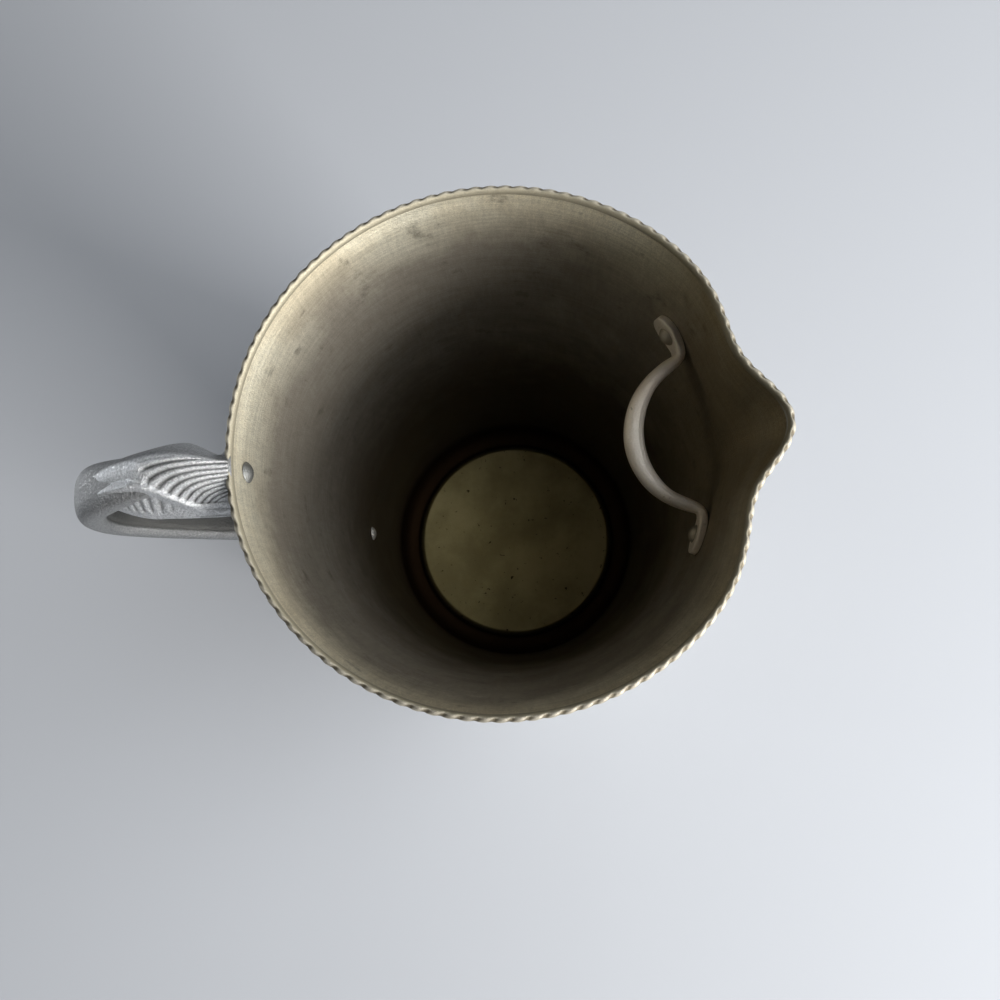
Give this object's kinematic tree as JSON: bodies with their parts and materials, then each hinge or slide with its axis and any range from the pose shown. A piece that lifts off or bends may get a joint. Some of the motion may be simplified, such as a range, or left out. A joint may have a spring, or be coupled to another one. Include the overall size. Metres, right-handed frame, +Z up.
{
  "type": "water pitcher",
  "caption": "Open-topped spun aluminium water pitcher with a pinched pouring lip, rope-crimped rim, riveted cast leaf handle and a bowed ice guard across the lip.",
  "frame": {"origin": "on the vessel's axis, in the plane of the standing ring under the bottom", "axes": "+Z up along the vessel's axis, +X towards the pouring lip, -X towards the handle"},
  "size_m": [0.1979, 0.1392, 0.2121],
  "materials": {
    "spun_sheet": "satin spun sheet, lightly stained inside",
    "cast_metal": "sand-cast, rubbed bright on the raised leaf",
    "guard_bar": "smooth satin bar",
    "rivet_metal": "hammered rivet, dull satin"
  },
  "bodies": {
    "root": {"body": "spun_sheet", "handle": "cast_metal", "ice_guard": "guard_bar", "handle_rivet_upper": "rivet_metal", "handle_rivet_lower": "rivet_metal", "guard_rivet_left": "rivet_metal", "guard_rivet_right": "rivet_metal"}
  },
  "joints": []
}
